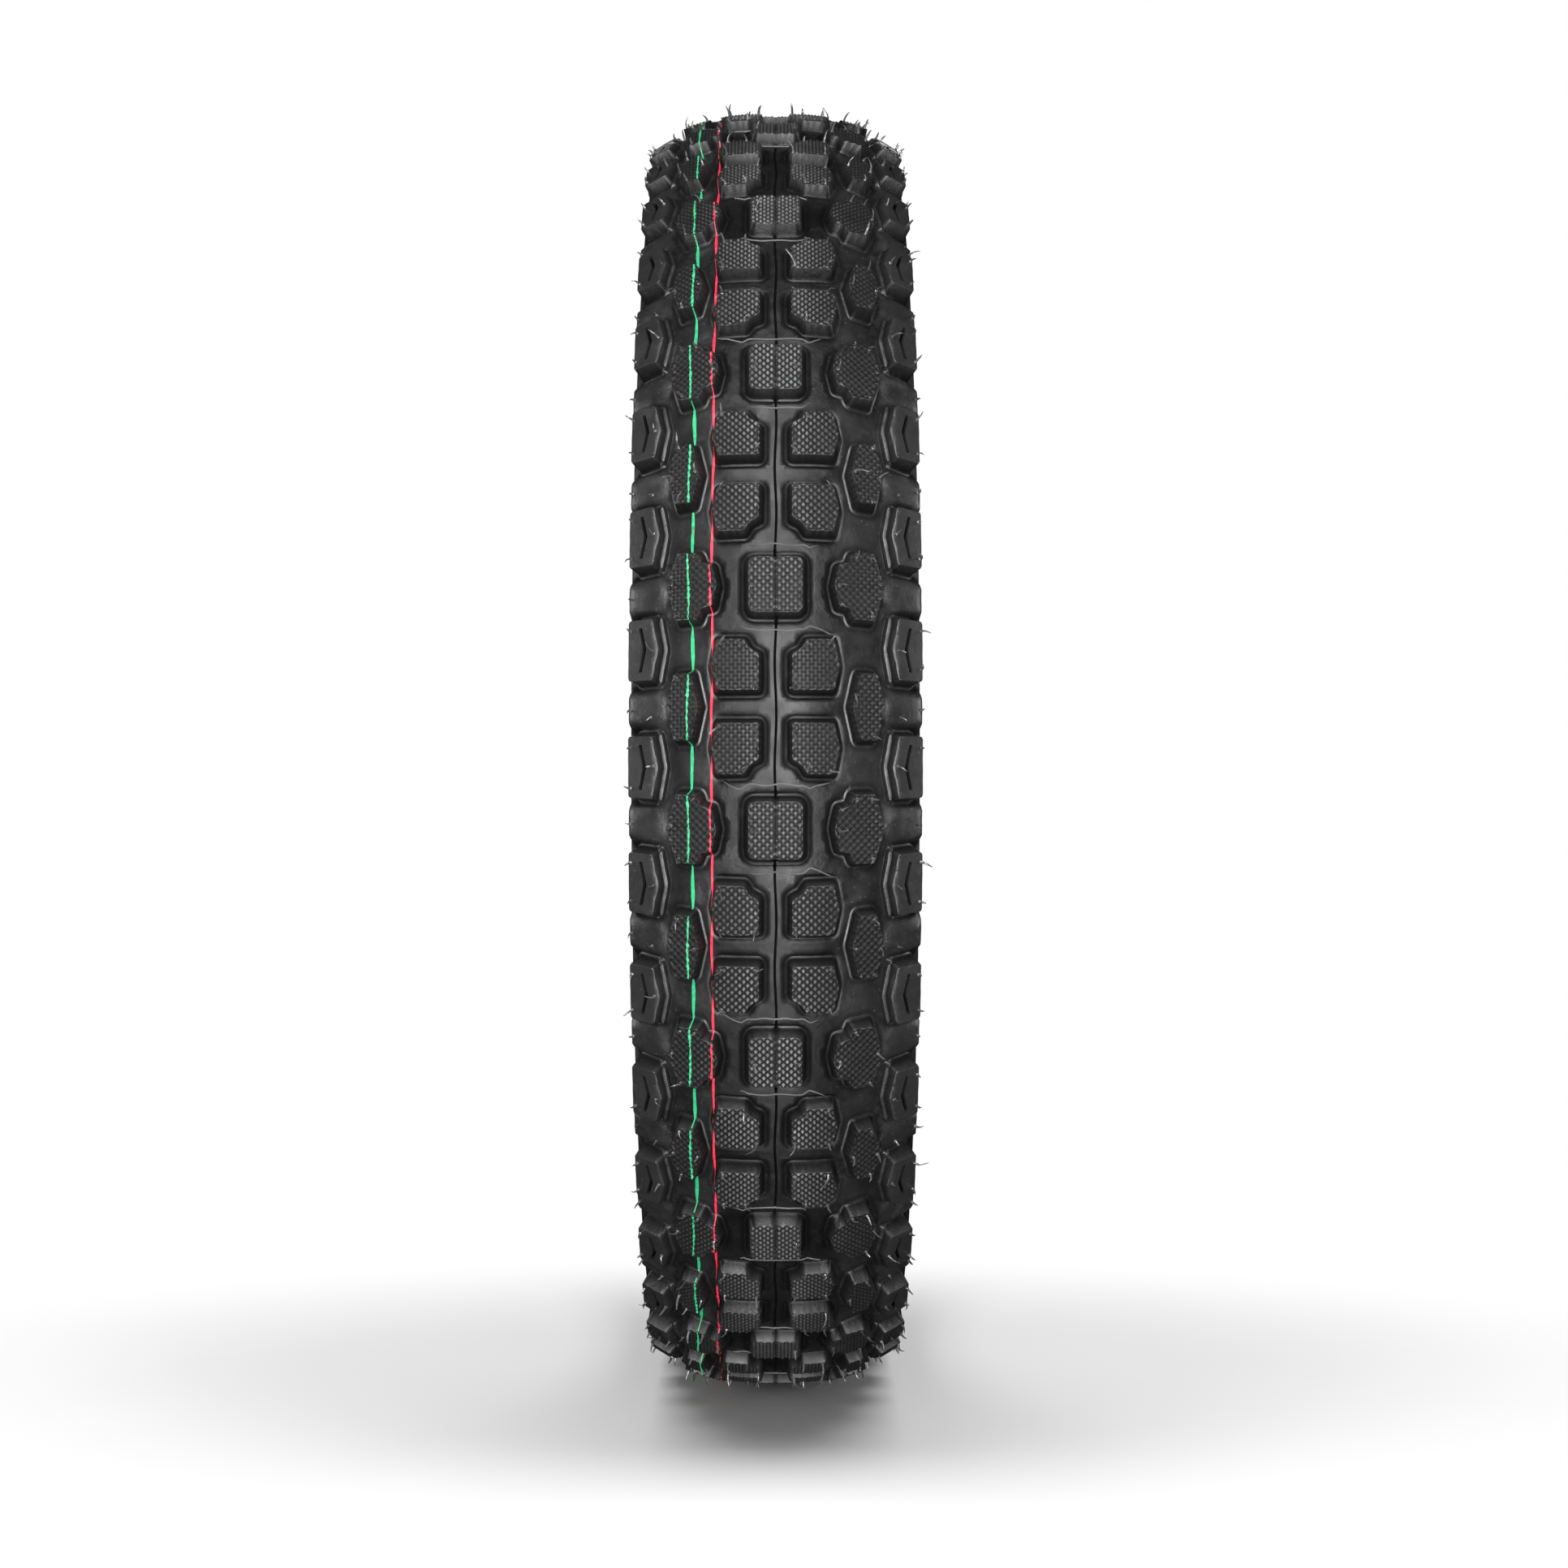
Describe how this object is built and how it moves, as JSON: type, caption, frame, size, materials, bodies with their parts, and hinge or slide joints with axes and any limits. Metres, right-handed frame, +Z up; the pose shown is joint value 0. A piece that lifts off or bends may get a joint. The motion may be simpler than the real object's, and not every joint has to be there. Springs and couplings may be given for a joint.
{
  "type": "motorcycle tire",
  "caption": "Block-tread motorcycle tire with knobs across a rounded crown, plain sidewalls, wire beads and a cross-ply casing open at the rim.",
  "frame": {"origin": "centre of the tire, on the axle line and the centre plane", "axes": "+Y along the axle, +Z up with the tire standing on its tread, +X out of the tread that faces the camera"},
  "size_m": [0.6496, 0.1226, 0.6496],
  "materials": {
    "tread_rubber": "satin moulded rubber, dark charcoal",
    "sidewall_rubber": "smooth satin moulded rubber",
    "liner_rubber": "matt, with the fine ribs of a curing bladder",
    "inner_rubber": "matt",
    "ply_fabric": "rubber-coated nylon cord",
    "breaker_fabric": "rubber-coated cord",
    "chafer_fabric": "rubberised woven strip",
    "bead_steel": "bronze-coated wire",
    "paint_green": "thin marking paint on rubber",
    "paint_red": "thin marking paint on rubber"
  },
  "bodies": {
    "root": {"tread_cap": "tread_rubber", "undertread": "inner_rubber", "breaker_outer": "breaker_fabric", "breaker_inner": "breaker_fabric", "casing_ply_outer": "ply_fabric", "casing_ply_inner": "ply_fabric", "inner_liner": "liner_rubber", "shoulder_wedge_left": "inner_rubber", "shoulder_wedge_right": "inner_rubber", "sidewall_left": "sidewall_rubber", "sidewall_right": "sidewall_rubber", "bead_bundle_left": "bead_steel", "bead_bundle_right": "bead_steel", "bead_filler_left": "inner_rubber", "bead_filler_right": "inner_rubber", "bead_wrap_left": "chafer_fabric", "bead_wrap_right": "chafer_fabric", "chafer_left": "chafer_fabric", "chafer_right": "chafer_fabric"}
  },
  "joints": []
}
